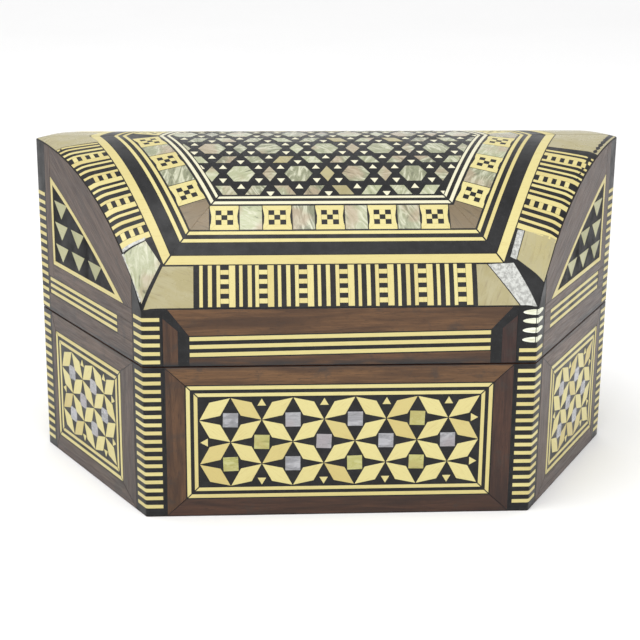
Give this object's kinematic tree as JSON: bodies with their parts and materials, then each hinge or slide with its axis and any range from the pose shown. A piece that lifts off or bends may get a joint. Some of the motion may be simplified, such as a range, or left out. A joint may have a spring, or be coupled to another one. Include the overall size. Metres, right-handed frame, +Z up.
{
  "type": "wind-up music box",
  "caption": "Six-sided inlaid wooden wind-up music box with a hinged vaulted lid, lined compartment and spring-driven musical movement.",
  "frame": {"origin": "centre of the box on the surface it stands on", "axes": "+X to the right along the long side, +Z up, front towards -Y"},
  "size_m": [0.152, 0.0988, 0.0851],
  "materials": {
    "walnut": "lacquered",
    "inner_wood": "bare",
    "inlay": "lacquered bone, pearl and black inlay",
    "bone": "lacquered bone",
    "pearl": "polished mother-of-pearl",
    "ebony": "lacquered black",
    "velvet": "velvet",
    "brass": "polished",
    "steel": "brushed",
    "clear_cover": "clear"
  },
  "bodies": {
    "base": {"base_wall_front": "walnut", "base_panel_front": "inlay", "base_wall_front_right": "walnut", "base_panel_front_right": "inlay", "base_wall_back_right": "walnut", "base_panel_back_right": "inlay", "base_wall_back": "walnut", "base_panel_back": "inlay", "base_wall_back_left": "walnut", "base_panel_back_left": "inlay", "base_wall_front_left": "walnut", "base_panel_front_left": "inlay", "floor_board": "inner_wood", "partition": "inner_wood", "compartment_lining": "velvet", "compartment_cushion": "velvet", "cover_ledge": "inner_wood", "movement_cover": "clear_cover", "cover_screw_1": "brass", "cover_screw_2": "brass", "hinge_base_leaf": "brass", "hinge_base_screw_1": "brass", "hinge_base_screw_2": "brass", "hinge_pin": "steel", "bedplate": "steel", "bed_screw_1": "steel", "bed_screw_2": "steel", "comb": "steel", "comb_screw_1": "steel", "comb_screw_2": "steel", "governor_frame": "brass"},
    "lid": {"lid_wall_front": "walnut", "lid_wall_front_right": "walnut", "lid_panel_front_right": "inlay", "lid_wall_back_right": "walnut", "lid_panel_back_right": "inlay", "lid_wall_back": "walnut", "lid_wall_back_left": "walnut", "lid_panel_back_left": "inlay", "lid_wall_front_left": "walnut", "lid_panel_front_left": "inlay", "vault_board": "inner_wood", "vault_border": "inlay", "vault_field": "inlay", "lid_lining": "velvet", "hinge_lid_leaf": "brass", "hinge_lid_screw_1": "brass", "hinge_lid_screw_2": "brass"},
    "winding": {"winding_key": "brass", "winding_arbor": "steel", "ratchet_wheel": "steel"},
    "barrel_body": {"barrel": "brass", "mainspring": "steel"},
    "cylinder_body": {"cylinder": "brass", "cylinder_arbor": "steel"},
    "governor": {"governor_wheel": "brass"},
    "brake": {"air_brake": "brass"},
    "stop_lever": {"stop_lever": "steel"},
    "stop_plunger": {"stop_plunger": "steel"},
    "click": {"click": "steel"}
  },
  "joints": [
    {"name": "lid_hinge", "type": "hinge", "parent": "base", "child": "lid", "pos_m": [0, 0.0472, 0.03915], "axis": [-1, 0, 0], "range_deg": [0, 100]},
    {"name": "key_wind", "type": "hinge", "parent": "base", "child": "winding", "pos_m": [-0.037, 0.0125, 0.0152], "axis": [0, 0, 1], "continuous": true},
    {"name": "cylinder_spin", "type": "hinge", "parent": "base", "child": "cylinder_body", "pos_m": [-0.037, -0.01, 0.0281], "axis": [0, 1, 0], "continuous": true},
    {"name": "barrel_spin", "type": "hinge", "parent": "base", "child": "barrel_body", "pos_m": [-0.037, 0.0125, 0.0212], "axis": [0, 0, 1], "continuous": true},
    {"name": "governor_spin", "type": "hinge", "parent": "base", "child": "governor", "pos_m": [-0.0445, -0.02262, 0.0281], "axis": [0, 1, 0], "continuous": true},
    {"name": "brake_spin", "type": "hinge", "parent": "base", "child": "brake", "pos_m": [-0.0491, -0.02262, 0.0281], "axis": [0, 0, 1], "continuous": true},
    {"name": "stop_lever_pivot", "type": "hinge", "parent": "base", "child": "stop_lever", "pos_m": [-0.06191, -0.00461, 0.0242], "axis": [-0.866, -0.5, 0], "range_deg": [0, 9]},
    {"name": "stop_plunger_slide", "type": "slide", "parent": "base", "child": "stop_plunger", "axis": [0, 0, 1], "range_m": [0, 0.0016]},
    {"name": "click_pivot", "type": "hinge", "parent": "base", "child": "click", "pos_m": [-0.0303, 0.0171, 0.018], "axis": [0, 0, 1], "range_deg": [0, 15], "stiffness_Nm_per_rad": 0.0001}
  ],
  "couplings": [
    {"joint": "barrel_spin", "follows": "cylinder_spin", "ratio": -0.25},
    {"joint": "governor_spin", "follows": "cylinder_spin", "ratio": -4},
    {"joint": "brake_spin", "follows": "cylinder_spin", "ratio": 96},
    {"joint": "stop_lever_pivot", "follows": "lid_hinge", "ratio": 0.086},
    {"joint": "stop_plunger_slide", "follows": "lid_hinge", "m_per_rad": 0.00086}
  ]
}
